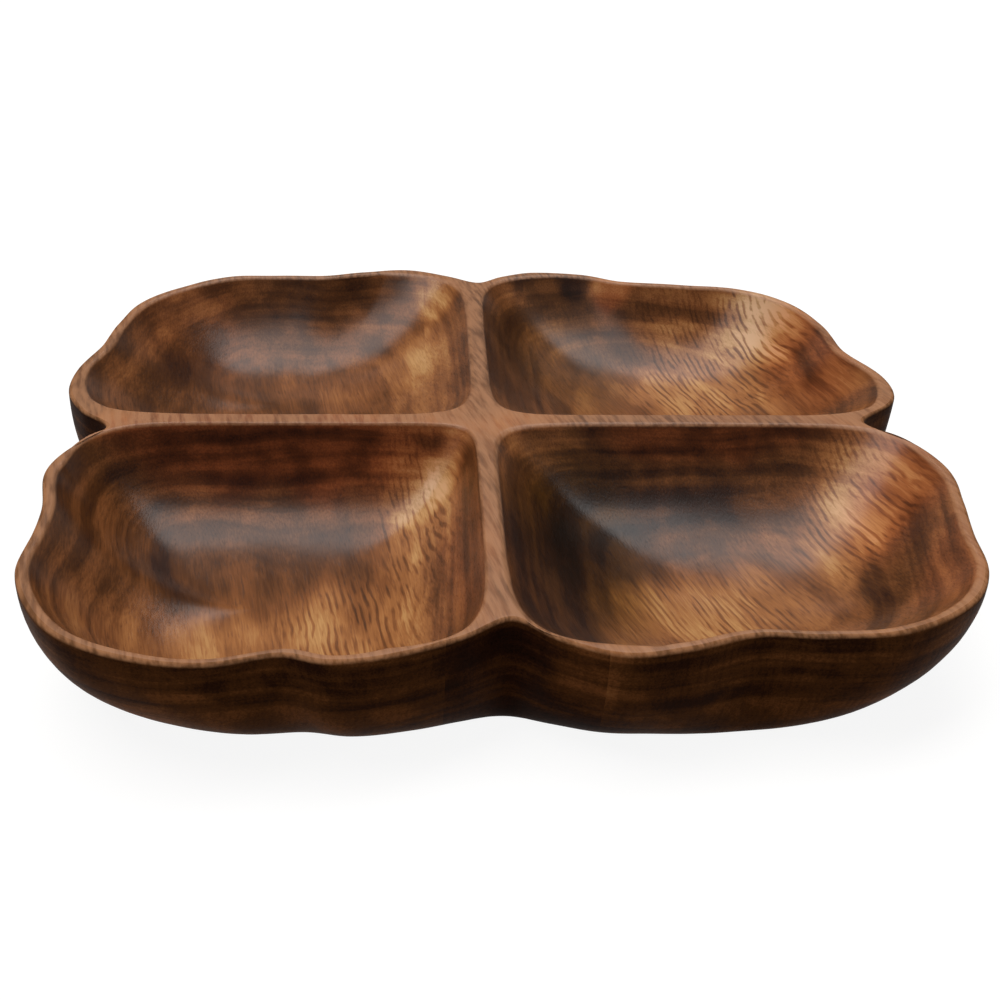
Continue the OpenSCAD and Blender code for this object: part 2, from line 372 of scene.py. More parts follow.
@dataclass
class Carving:
    """The whole carved surface: bowls, web, outer wall and base."""

    form: TrayForm
    bowls: list[BowlForm]
    bowl_edge: float = 1.3  # how far above and below the rim the edge of a bowl is eased
    wall_edge: float = 1.4  # radius that eases the outer edge of the rim
    scraper_wave: float = 55.0
    scraper_depth: float = 0.5
    scraped_from: tuple[float, float] = (1.0, 9.0)  # depths between which the scraper's ripple sets in
    rim_wave: float = 45.0
    rim_dip: float = 0.5
    rim_zone: tuple[float, float] = (7.0, 1.0)  # depths between which the rim's dips fade out
    wall_dip: float = 0.7
    rim_seed: int = 11
    wall_seed: int = 5
    bowl_steps: int = 384
    bowl_rings: int = 56
    first_ring: float = 0.02
    fold_steps: int = 12  # how far round a bowl its wall's folds are softened
    fold_share: float = 0.3  # how far in from the bowl's edge they are softened in full
    wall_steps: int = 720
    wall_rings: int = 24
    edge_rings: int = 7
    base_rings: tuple[float, ...] = (0.25, 0.5, 0.75, 0.92)
    web_pitch: float = 2.0
    web_gap: float = 0.35  # how near a ring the grid's points come, as a share of the pitch
    web_snap: float = 1e-5  # how near to each other points of the web are taken for one
    merge: float = 2e-6  # metres
    joint_snap: float = 1e-7  # metres

    def bowl_patch(self, bowl: BowlForm, seed: int) -> tuple[Patch, np.ndarray]:
        """One bowl, from its pole up to where its eased edge meets the flat of the rim.

        Heights follow -depth(1 - s^n) for a share s of the way to the rim. A quadratic soft minimum with the
        rim's plane eases the edge. Rings close up towards the edge as a sine does.

        Args:
            bowl: The bowl's place and character.
            seed: Picks the scraper's ripple.

        Returns:
            The patch and its outermost ring.
        """
        angle = np.linspace(0, math.tau, self.bowl_steps, endpoint=False)
        if bowl.side_x * bowl.side_y < 0:
            angle = angle[::-1]
        flatness = bowl.flatness_at(angle)
        last = (1 + self.bowl_edge / bowl.depth) ** (1 / flatness)
        share = last * np.sin(np.linspace(self.first_ring, 1, self.bowl_rings) * math.pi / 2)[:, None]
        at_rim, at_floor = bowl.reach(self.form, angle), bowl.reach(self.form, angle, self.fold_steps)
        reach = at_rim + (at_floor - at_rim) * smooth_step(1 - share, 0, self.fold_share)
        grow = bowl.roundness * np.maximum(0, 1 - share)
        radius = share * (reach * (1 - grow) + at_rim.mean() * grow)
        middle_x, middle_y = self.form.bowl_middle_shares
        across, along = middle_x + radius * np.cos(angle), middle_y + radius * np.sin(angle)
        x, y = self.form.placed(bowl.side_x * across, bowl.side_y * along)
        rise = -bowl.depth * (1 - share**flatness)
        near_edge = np.maximum(0, self.bowl_edge - np.abs(rise))
        eased = np.minimum(rise, 0) - near_edge**2 / (4 * self.bowl_edge)
        scraped = self.scraper_depth * ripple(x, y, self.scraper_wave, seed)
        scraped *= smooth_step(-rise, *self.scraped_from)
        rings = np.stack([x, y, self.form.height + eased + scraped], axis=-1)
        return ring_patch(rings), rings[-1]

    def outer_patch(self) -> tuple[Patch, np.ndarray]:
        """The base, the rounded outer wall and the eased outer edge of the rim, from the base's pole upwards.

        The wall is a quarter of an ellipse: upright at the rim and level where it meets the base. A ripple
        that fades out towards the base lies inside it.

        Returns:
            The patch and its top ring.
        """
        form = self.form
        angle = np.linspace(360, 0, self.wall_steps, endpoint=False)
        rim, foot = form.rim_share(angle), form.share_at(FOOT_SHARES, angle)
        rings = [form.wall_ring(angle, foot, 0.0) * [part, part, 1] for part in self.base_rings]
        down = np.linspace(math.pi / 2, math.asin(self.wall_edge / form.height), self.wall_rings)
        turn = np.linspace(0, math.pi / 2, self.edge_rings)[1:]
        shares = [foot + (rim - foot) * math.cos(d) for d in down]
        shares += [rim - self.wall_edge * (1 - math.cos(t)) / form.unit_mean for t in turn]
        levels = np.concatenate([
            form.height * (1 - np.sin(down)),
            form.height - self.wall_edge * (1 - np.sin(turn)),
        ])
        fades = np.concatenate([np.cos(down), np.ones_like(turn)])
        for share, level, fade in zip(shares, levels, fades):
            ring = form.wall_ring(angle, share, level)
            uneven = (1 - ripple(ring[:, 0] + level, ring[:, 1], self.rim_wave, self.wall_seed)) / 2
            rings.append(form.wall_ring(angle, share - self.wall_dip * uneven * fade / form.unit_mean, level))
        return ring_patch(np.array(rings), True), rings[-1]

    @staticmethod
    def beyond(points: np.ndarray, loop: np.ndarray) -> np.ndarray:
        """How far each point lies outside a loop, along the ray from the loop's own middle.

        Args:
            points: The points, as rows of X and Y.
            loop: A closed ring of points.

        Returns:
            The distance for each point, below 0 inside the loop.
        """
        middle = (loop[:, :2].min(axis=0) + loop[:, :2].max(axis=0)) / 2
        rim, away = loop[:, :2] - middle, points - middle
        rim_angle, rim_radius = np.arctan2(rim[:, 1], rim[:, 0]), np.hypot(rim[:, 0], rim[:, 1])
        order = np.argsort(rim_angle)
        at = np.arctan2(away[:, 1], away[:, 0])
        radius = np.interp(at, rim_angle[order], rim_radius[order], period=math.tau)
        return np.hypot(away[:, 0], away[:, 1]) - radius

    def web_patch(self, outline: np.ndarray, holes: list[np.ndarray]) -> Patch:
        """The flat top between the outer edge and the four bowls, as triangles between their rings.

        A staggered grid of points fills the wide places, and a constrained triangulation joins them.

        Args:
            outline: The outer wall's top ring.
            holes: The bowls' outermost rings.

        Returns:
            The patch.
        """
        loops, pitch = [outline, *holes], self.web_pitch
        half_x, half_y = self.form.width / 2, self.form.depth / 2
        rows = np.arange(-half_y, half_y, pitch * math.sqrt(3) / 2)
        row, column = np.meshgrid(rows, np.arange(-half_x, half_x, pitch), indexing="ij")
        stagger = np.where(np.arange(row.shape[0]) % 2, pitch / 2, 0)[:, None]
        fill = np.stack([(column + stagger).ravel(), row.ravel()], axis=1)
        inside = self.beyond(fill, outline) < -pitch * self.web_gap
        for hole in holes:
            inside &= self.beyond(fill, hole) > pitch * self.web_gap
        edges = []
        first = 0
        for loop in loops:
            number = np.arange(len(loop))
            edges += (np.stack([number, (number + 1) % len(loop)], axis=1) + first).tolist()
            first += len(loop)
        flat = np.vstack([loop[:, :2] for loop in loops] + [fill[inside]])
        spots = [Vector(p) for p in flat.tolist()]
        joined = geometry.delaunay_2d_cdt(spots, edges, [], 0, self.web_snap, False)
        points, faces = np.array([list(p) for p in joined[0]]), np.array(joined[2])
        centre = points[faces].mean(axis=1)
        keep = self.beyond(centre, outline) < 0
        for hole in holes:
            keep &= self.beyond(centre, hole) > 0
        return Patch(np.column_stack([points, np.full(len(points), self.form.height)]), faces[keep].tolist())

    def skin(self, joints: list[float]) -> Skin:
        """All patches as one closed surface, with rows of points at the glue joints.

        The rim's top is made slightly uneven. Vertex normals are taken before the boards are parted, so the
        light runs smoothly over a joint.

        Args:
            joints: X of each glue plane, in metres.

        Returns:
            The surface as triangles.
        """
        patches, holes = [], []
        for seed, bowl in enumerate(self.bowls):
            patch, ring = self.bowl_patch(bowl, seed)
            patches.append(patch)
            holes.append(ring)
        wall, outline = self.outer_patch()
        patches += [wall, self.web_patch(outline, holes)]
        points = np.vstack([patch.points for patch in patches])
        low, high = (self.form.height - depth for depth in self.rim_zone)
        dips = self.rim_dip * (ripple(points[:, 0], points[:, 1], self.rim_wave, self.rim_seed) + 1) / 2
        points[:, 2] -= dips * smooth_step(points[:, 2], low, high)
        faces: list[list[int]] = []
        first = 0
        for patch in patches:
            faces += [[number + first for number in face] for face in patch.faces]
            first += len(patch.points)
        mesh = bpy.data.meshes.new("whole")
        mesh.from_pydata((points * MM).tolist(), [], faces)
        side = np.concatenate([np.full(len(patch.faces), patch.outside) for patch in patches])
        mesh.polygons.foreach_set("material_index", side.astype(np.int32))
        whole = bmesh.new()
        whole.from_mesh(mesh)
        bmesh.ops.remove_doubles(whole, verts=whole.verts, dist=self.merge)
        for joint in joints:
            everything = whole.verts[:] + whole.edges[:] + whole.faces[:]
            bmesh.ops.bisect_plane(
                whole, geom=everything, dist=self.joint_snap, plane_co=(joint, 0, 0), plane_no=(1, 0, 0)
            )
        bmesh.ops.triangulate(whole, faces=whole.faces)
        bmesh.ops.recalc_face_normals(whole, faces=whole.faces)
        whole.to_mesh(mesh)
        whole.free()
        count = len(mesh.vertices)
        place, normal = np.empty(count * 3, np.float32), np.empty(count * 3, np.float32)
        corner, outside = np.empty(len(mesh.loops), np.int32), np.empty(len(mesh.polygons), np.int32)
        mesh.vertices.foreach_get("co", place)
        mesh.vertex_normals.foreach_get("vector", normal)
        mesh.loops.foreach_get("vertex_index", corner)
        mesh.polygons.foreach_get("material_index", outside)
        bpy.data.meshes.remove(mesh)
        return Skin(place.reshape(-1, 3), normal.reshape(-1, 3), corner.reshape(-1, 3), outside)


# The wood


class Figure(Enum):
    """How a marked place looks: its change of tone, of redness and of the streaks' strength. Most are figures
    of the wood, and a few marks use them for painted light or shade.
    """

    # DARK is dark heartwood, and at one mark painted shade; GOLD and PALE are wood, and at a few marks painted
    # highlights
    GOLD = (0.25, 0.0, 0.7)  # pale sapwood with dark streaks
    PALE = (0.25, 0.0, 0.0)  # pale and plain
    DARK = (-0.25, 0.0, -0.2)  # dark heartwood
    RED = (0.0, 1.0, -0.3)  # smooth and reddish
    OLIVE = (0.0, -1.0, 0.0)  # dull and greenish brown


@dataclass(frozen=True)
class Mark:
    """A place where the colour differs: an ellipse seen from above, turned anticlockwise by some degrees. Most
    marks are the wood's own figure, and a few are painted light or shade.

    Soft is how far its edge fades to each side, as a share of its size.
    """

    figure: Figure
    x: float
    y: float
    half_x: float
    half_y: float
    turn: float = 0.0
    strength: float = 1.0
    soft: float = 0.45
    spare: float = 8.0  # how far the wood's bends may carry the mark

    def touches(self, low: float, high: float) -> bool:
        """Whether the mark, with its fading edge, may reach into a span of X."""
        reach = max(self.half_x, self.half_y) * (1 + self.soft) + self.spare
        return self.x + reach > low and self.x - reach < high


@dataclass(frozen=True)
class Plank:
    """A plank that boards of the panel were sawn from: its usual tone and the run of its fibres."""

    tone: float
    red: float
    fibre_turn: float  # degrees from +Y, anticlockwise seen from above
    streaks: float


@dataclass(frozen=True)
class Pattern:
    """Noise that runs along the grain, spread from its range between low and high."""

    size: tuple[float, float, float]  # half a wave in millimetres, across the fibres, along them and up
    detail: float  # how many finer waves are added
    shift: float  # moves the pattern, so that no two patterns match
    low: float  # the noise that becomes the least value
    high: float  # the noise that becomes 1
    gain: float = 1.0  # how much the pattern changes the wood's tone
    least: float = -1.0


@dataclass(frozen=True)
class OiledMonkeypod:
    """Monkeypod, a coarse brown tropical hardwood, carved, sanded and finished with satin oil.

    It gives soft bands where the carving cuts across the growth rings, dark streaks 2 to 3 mm apart where
    the grain interlocks, open vessels as fine dark lines and a soft grey sheen under a window. Outside, where
    it was oiled once, it is duller, and darker partly in the wood and partly as painted shade.
    """

    tones: tuple[tuple[float, str], ...] = (
        (0.0, "#1a0d07"),
        (0.2, "#341b0e"),
        (0.4, "#5c361a"),
        (0.55, "#84502b"),
        (0.7, "#aa6f3f"),
        (0.85, "#c9965e"),
        (1.0, "#e0b080"),
    )
    red_tint: str = "#ffbfa8"
    olive_tint: str = "#d4dcae"
    # Darker outside: partly the wood's own tone, partly painted shade on the outer wall
    outside_tone_and_shade: float = -0.2
    # Growth bands lie nearly level, 4 mm apart, so they show where the carving cuts down through them
    bands: Pattern = Pattern((90.0, 240.0, 4.2), 3.0, 3.0, 0.36, 0.64, 0.09)
    clouds: Pattern = Pattern((11.0, 34.0, 9.0), 3.0, 7.0, 0.35, 0.65, 0.07)
    # Fibres and vessels are drawn several times as wide as real ones, so that they show
    fibres: Pattern = Pattern((0.6, 14.0, 0.6), 3.0, 41.0, 0.35, 0.65, 0.035)
    vessels: Pattern = Pattern((0.55, 6.0, 0.55), 1.0, 23.0, 0.58, 0.72, -0.06, least=0.0)
    streak_lengths: Pattern = Pattern((3.0, 13.0, 4.0), 1.0, 13.0, 0.4, 0.56, least=0.0)
    streak_pitch: float = 2.3
    streak_crest: tuple[float, float] = (-0.3, 0.95)  # the part of a sine that turns from pale to dark
    streak_gain: float = -0.28
    # How far apart the bends of the grain, marks and streaks are, and how far they reach
    grain_bend: tuple[float, float] = (60.0, 5.0)
    mark_bend: tuple[float, float] = (18.0, 6.0)
    streak_bend: tuple[float, float] = (8.0, 2.0)
    bend_stretch: float = 2.0  # how much longer bends are along the tray than across it
    bend_detail: float = 1.5
    # The rim's top is worn to a pale, dull brown where hands and cloths take the oil off; its pale colour is
    # also a painted sheen, the shine of a level top under the window
    rim_wear_and_sheen_colour: str = "#b9835c"
    wear_and_sheen: Pattern = Pattern((1.6, 12.0, 1.6), 3.0, 31.0, 0.3, 0.65, 0.25)
    wear_and_sheen_share: float = 0.52
    wear_and_sheen_depths: tuple[float, float] = (1.5, 0.7)
    # Satin oil: its index of refraction is 1.48, and its gloss is low where the wood drinks it
    roughness: float = 0.28
    outside_roughness: float = 0.5
    rim_roughness: float = 0.12  # this and the next two are added to the roughness
    vessel_roughness: float = 0.08
    streak_roughness: float = 0.06
    ior: float = 1.48
    specular: float = 0.38
    outside_specular: float = 0.01
    relief: float = 0.02  # millimetres from a fibre's top to the ground between
    relief_strength: float = 0.3
    groove: float = -0.8  # how deep a vessel or a streak is beside that


@dataclass
class WoodShader:
    """Builds the solid wood texture of one board out of nodes that read Object coordinates."""

    name: str
    plank: Plank
    finish: OiledMonkeypod
    marks: list[Mark]
    height: float
    outside: bool
    endless: float = 1000.0  # a mark's half height, so that it runs through the whole board

    def material(self) -> bpy.types.Material:
        """Builds the board's material: colour, roughness and bump from the plank, the marks and the finish.

        Returns:
            The material.
        """
        side = "outside" if self.outside else "inside"
        made = bpy.data.materials.new(f"oiled_monkeypod_{side}_{self.name}")
        made.use_nodes = True
        self.tree = made.node_tree
        self.tree.nodes.clear()
        spot = add(self.tree, "ShaderNodeTexCoord").outputs["Object"]
        place = add(self.tree, "ShaderNodeVectorMath", {0: spot, 3: 1 / MM}, operation="SCALE")
        grain = add(self.tree, "ShaderNodeMapping", {
            "Vector": self.bent(place, self.finish.grain_bend),
            "Rotation": (0, 0, -math.radians(self.plank.fibre_turn)),
        })
        tone, red, strength = self.marked(self.bent(place, self.finish.mark_bend))
        bands, clouds = self.noise(grain, self.finish.bands), self.noise(grain, self.finish.clouds)
        fibres, vessels = self.noise(grain, self.finish.fibres), self.noise(grain, self.finish.vessels)
        streaks = self.streaked(grain, strength)
        for value, gain in (
            (bands, self.finish.bands.gain),
            (clouds, self.finish.clouds.gain),
            (fibres, self.finish.fibres.gain),
            (vessels, self.finish.vessels.gain),
            (streaks, self.finish.streak_gain),
        ):
            tone = add(self.tree, "ShaderNodeMath", {0: value, 1: gain, 2: tone}, operation="MULTIPLY_ADD")
        # Wear and painted sheen: the rim's top is mixed towards the pale rim colour, both for hands' wear and
        # for the shine of a level top under the window
        top = self.topped(place)
        share = add(self.tree, "ShaderNodeMath", {
            0: self.noise(grain, self.finish.wear_and_sheen), 1: self.finish.wear_and_sheen.gain, 2: self.finish.wear_and_sheen_share,
        }, operation="MULTIPLY_ADD")
        share = add(self.tree, "ShaderNodeMath", {0: share, 1: top}, operation="MULTIPLY")
        colour = add(self.tree, "ShaderNodeMix", {
            0: share, 6: self.coloured(tone, red), 7: linear(self.finish.rim_wear_and_sheen_colour),
        }, data_type="RGBA").outputs[2]
        self.dressed(colour, top, streaks, fibres, vessels)
        return made

    def bent(self, place: Any, bend: tuple[float, float]) -> Any:
        """Pushes the place about by soft noise, so that what is drawn there wanders.

        The noise's colour lies about a half, so a half is taken off it.

        Args:
            place: The place in millimetres.
            bend: The usual distance between bends, and how far a point may move.

        Returns:
            The moved place.
        """
        size, reach = bend
        squeezed = add(self.tree, "ShaderNodeMapping", {
            "Vector": place, "Scale": (1 / size, 1 / (size * self.finish.bend_stretch), 1 / size),
        })
        noise = add(self.tree, "ShaderNodeTexNoise", {
            "Vector": squeezed, "Scale": 1.0, "Detail": self.finish.bend_detail,
        })
        push = add(self.tree, "ShaderNodeVectorMath", {
            0: noise.outputs["Color"], 1: (0.5, 0.5, 0.5),
        }, operation="SUBTRACT")
        return add(self.tree, "ShaderNodeVectorMath", {
            0: push, 1: (2 * reach, 2 * reach, 2 * reach), 2: place,
        }, operation="MULTIPLY_ADD")

    def noise(self, place: Any, pattern: Pattern) -> Any:
        """Draws a pattern.

        Args:
            place: The place in millimetres, with Y along the fibres.
            pattern: What is drawn.

        Returns:
            Its value, from its least to 1.
        """
        squeezed = add(self.tree, "ShaderNodeMapping", {
            "Vector": place, "Location": (pattern.shift, pattern.shift, 0),
            "Scale": tuple(1 / size for size in pattern.size),
        })
        noise = add(self.tree, "ShaderNodeTexNoise", {
            "Vector": squeezed, "Scale": 1.0, "Detail": pattern.detail,
        })
        return add(self.tree, "ShaderNodeMapRange", {
            "Value": noise, "From Min": pattern.low, "From Max": pattern.high, "To Min": pattern.least,
            "To Max": 1.0,
        }, interpolation_type="SMOOTHSTEP")

    def marked(self, place: Any) -> tuple[Any, Any, Any]:
        """Adds each mark's figure inside its ellipse.

        Args:
            place: The place in millimetres.

        Returns:
            Tone, redness and the streaks' strength.
        """
        # The outside is darker, partly in the wood and partly as painted shade
        start = self.plank.tone + (self.finish.outside_tone_and_shade if self.outside else 0.0)
        totals = []
        for value in (start, self.plank.red, self.plank.streaks):
            node = add(self.tree, "ShaderNodeValue")
            node.outputs[0].default_value = value
            totals.append(node)
        for mark in self.marks:
            local = add(self.tree, "ShaderNodeMapping", {
                "Vector": place,
                "Location": (mark.x, mark.y, 0),
                "Rotation": (0, 0, math.radians(mark.turn)),
                "Scale": (mark.half_x, mark.half_y, self.endless),
            }, vector_type="TEXTURE")
            away = add(self.tree, "ShaderNodeVectorMath", {0: local}, operation="LENGTH").outputs["Value"]
            share = add(self.tree, "ShaderNodeMapRange", {
                "Value": away, "From Min": 1 - mark.soft, "From Max": 1 + mark.soft,
                "To Min": 1.0, "To Max": 0.0,
            }, interpolation_type="SMOOTHSTEP")
            for number, change in enumerate(mark.figure.value):
                if change:
                    totals[number] = add(self.tree, "ShaderNodeMath", {
                        0: share, 1: change * mark.strength, 2: totals[number],
                    }, operation="MULTIPLY_ADD")
        return totals[0], totals[1], totals[2]

    def streaked(self, grain: Any, strength: Any) -> Any:
        """Dark, sinuous streaks along the fibres: 1 in a streak and 0 between, times their strength.

        They are the crests of a sine across the bent grain, and noise cuts them to tapered lengths.

        Args:
            grain: The place in millimetres, with Y along the fibres.
            strength: How strong streaks are there.

        Returns:
            The streaks.
        """
        bent = self.bent(grain, self.finish.streak_bend)
        across = add(self.tree, "ShaderNodeSeparateXYZ", {0: bent}).outputs[0]
        turned = add(self.tree, "ShaderNodeMath", {
            0: across, 1: math.tau / self.finish.streak_pitch,
        }, operation="MULTIPLY")
        wave = add(self.tree, "ShaderNodeMath", {0: turned}, operation="SINE")
        low, high = self.finish.streak_crest
        lines = add(self.tree, "ShaderNodeMapRange", {
            "Value": wave, "From Min": low, "From Max": high,
        }, interpolation_type="SMOOTHSTEP")
        lengths = self.noise(grain, self.finish.streak_lengths)
        limited = add(self.tree, "ShaderNodeMath", {0: strength, 1: 0.0}, operation="MAXIMUM")
        cut = add(self.tree, "ShaderNodeMath", {0: lines, 1: lengths}, operation="MULTIPLY")
        return add(self.tree, "ShaderNodeMath", {0: cut, 1: limited}, operation="MULTIPLY")

    def coloured(self, tone: Any, red: Any) -> Any:
        """Turns tone and redness to a colour.

        Args:
            tone: From 0 for near black to 1 for gold.
            red: Above 0 for a red tint and below 0 for an olive one.

        Returns:
            The colour.
        """
        ramp = add(self.tree, "ShaderNodeValToRGB", {"Fac": tone})
        stops = ramp.color_ramp.elements
        for number, (spot, code) in enumerate(self.finish.tones):
            stop = stops[number] if number < 2 else stops.new(spot)
            stop.position = spot
            stop.color = linear(code)
        colour = ramp
        for code, side in ((self.finish.red_tint, 1.0), (self.finish.olive_tint, -1.0)):
            share = add(self.tree, "ShaderNodeMapRange", {"Value": red, "From Min": 0.0, "From Max": side})
            colour = add(self.tree, "ShaderNodeMix", {0: share, 6: colour, 7: linear(code)},
                         data_type="RGBA", blend_type="MULTIPLY").outputs[2]
        return colour

    def topped(self, place: Any) -> Any:
        """Finds the top of the rim.

        Args:
            place: The place in millimetres.

        Returns:
            1 on the rim's top and 0 below its edge.
        """
        up = add(self.tree, "ShaderNodeSeparateXYZ", {0: place}).outputs[2]
        low, high = (self.height - depth for depth in self.finish.wear_and_sheen_depths)
        return add(self.tree, "ShaderNodeMapRange", {
            "Value": up, "From Min": low, "From Max": high,
        }, interpolation_type="SMOOTHSTEP")

    def dressed(self, colour: Any, top: Any, streaks: Any, fibres: Any, vessels: Any) -> None:
        """Makes the surface: satin gloss, rougher on the rim and in the vessels, with the grain as bump.

        Args:
            colour: The wood's colour.
            top: 1 on the rim's top.
            streaks: 1 in a dark streak.
            fibres: The fibres' pattern.
            vessels: 1 in an open vessel.
        """
        finish = self.finish
        rough = add(self.tree, "ShaderNodeValue")
        rough.outputs[0].default_value = finish.outside_roughness if self.outside else finish.roughness
        for value, gain in (
            (top, finish.rim_roughness),
            (vessels, finish.vessel_roughness),
            (streaks, finish.streak_roughness),
        ):
            rough = add(self.tree, "ShaderNodeMath", {0: value, 1: gain, 2: rough}, operation="MULTIPLY_ADD")
        relief = fibres
        for value in (vessels, streaks):
            relief = add(self.tree, "ShaderNodeMath", {
                0: value, 1: finish.groove, 2: relief,
            }, operation="MULTIPLY_ADD")
        bump = add(self.tree, "ShaderNodeBump", {
            "Height": relief, "Strength": finish.relief_strength, "Distance": finish.relief * MM,
        })
        body = add(self.tree, "ShaderNodeBsdfPrincipled", {
            "Base Color": colour, "Roughness": rough, "Normal": bump, "IOR": finish.ior,
            "Specular IOR Level": finish.outside_specular if self.outside else finish.specular,
        })
        add(self.tree, "ShaderNodeOutputMaterial", {"Surface": body})


@dataclass
class Board:
    """One board of the panel: its CAD node, the plank that it came from and how its tones differ from it."""

    node: str
    plank: Plank
    tone_shift: float = 0.0
    outside_shift: float = 0.0

    def span(self) -> tuple[float, float]:
        """The board's least and greatest X, in metres, from its CAD node."""
        low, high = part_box(self.node)
        return low.x, high.x

    def saw(self, skin: Skin) -> bpy.types.Object:
        """Takes the board out of the carved skin, closes its glued edges and keeps the skin's normals.

        A triangle belongs to the board whose span holds its middle. Open edges lie on the glue planes, and
        each ring of them is filled with flat faces.

        Args:
            skin: The tray's whole surface.

        Returns:
            The board's piece.
        """
        low, high = self.span()
        middle = skin.points[skin.triangles, 0].mean(axis=1)
        mine = (middle > low) & (middle < high)
        used, numbers = np.unique(skin.triangles[mine], return_inverse=True)
        mesh = bpy.data.meshes.new(f"{self.node}_wood")
        mesh.from_pydata(skin.points[used].tolist(), [], numbers.reshape(-1, 3).tolist())
        mesh.polygons.foreach_set("material_index", skin.outside[mine].astype(np.int32))
        part = bmesh.new()
        part.from_mesh(mesh)
        count = len(part.faces)
        rims = [edge for edge in part.edges if edge.is_boundary]
        caps = bmesh.ops.holes_fill(part, edges=rims, sides=0)["faces"]
        for cap in caps:
            cap.material_index = 0
        bmesh.ops.triangulate(part, faces=caps)
        bmesh.ops.recalc_face_normals(part, faces=part.faces)
        part.to_mesh(mesh)
        part.free()
        corner = np.empty(len(mesh.loops), np.int32)
        mesh.loops.foreach_get("vertex_index", corner)
        normals = skin.normals[used][corner]
        cut = np.repeat(np.arange(len(mesh.polygons)) >= count, 3)
        near_high = skin.points[used][corner, 0] > (low + high) / 2
        normals[cut] = np.where(near_high[cut, None], (1, 0, 0), (-1, 0, 0))
        mesh.polygons.foreach_set("use_smooth", np.ones(len(mesh.polygons), bool))
        mesh.normals_split_custom_set(normals.tolist())
        piece = bpy.data.objects.new(f"{self.node}_wood", mesh)
        bpy.context.scene.collection.objects.link(piece)
        return piece


# The studio


@dataclass(frozen=True)
class PhotoCamera:
    """The photograph's viewpoint: angles and a distance about a point of the rim's plane."""

    focal_share: float = 1.48171  # focal length as a share of the frame's width
    elevation: float = 28.254
    azimuth: float = -4.866
    distance: float = 466.97
    roll: float = 2.222
    target: tuple[float, float, float] = (-2.05, -63.0, 40.0)
    sensor: float = 36.0
    nearest: float = 0.01  # metres

    def place(self) -> None:
        """Makes the camera and looks through it."""
        up, round_z, roll = (math.radians(a) for a in (self.elevation, self.azimuth, self.roll))
        back = Vector((math.sin(round_z) * math.cos(up), -math.cos(round_z) * math.cos(up), math.sin(up)))
        level = Vector((0, 0, 1)).cross(back).normalized()
        upright = back.cross(level)
        right = math.cos(roll) * level + math.sin(roll) * upright
        above = math.cos(roll) * upright - math.sin(roll) * level
        data = bpy.data.cameras.new("camera")
        data.sensor_width = self.sensor
        data.lens = self.sensor * self.focal_share
        data.clip_start = self.nearest
        camera = bpy.data.objects.new("camera", data)
        spot = (Vector(self.target) + self.distance * back) * MM
        camera.matrix_world = Matrix.Translation(spot) @ Matrix((right, above, back)).transposed().to_4x4()
        bpy.context.scene.collection.objects.link(camera)
        bpy.context.scene.camera = camera


@dataclass(frozen=True)
class Softbox:
    """A soft lamp that faces the tray: where it stands, in metres, and how bright its face is."""

    name: str
    azimuth: float  # degrees from the back (+Y) towards the right (+X)
    elevation: float
    distance: float
    wide: float
    tall: float
    glow: float

    def place(self) -> None:
        """Makes the lamp. Its watts are the glow of its face times its area times pi."""
        data = bpy.data.lights.new(self.name, "AREA")
        data.shape = "RECTANGLE"
        data.size, data.size_y = self.wide, self.tall
        data.energy = self.glow * self.wide * self.tall * math.pi
        turn, up = math.radians(self.azimuth), math.radians(self.elevation)
        away = Vector((math.sin(turn) * math.cos(up), math.cos(turn) * math.cos(up), math.sin(up)))
        lamp = bpy.data.objects.new(self.name, data)
        lamp.location = self.distance * away
        lamp.rotation_euler = away.to_track_quat("Z", "Y").to_euler()
        bpy.context.scene.collection.objects.link(lamp)


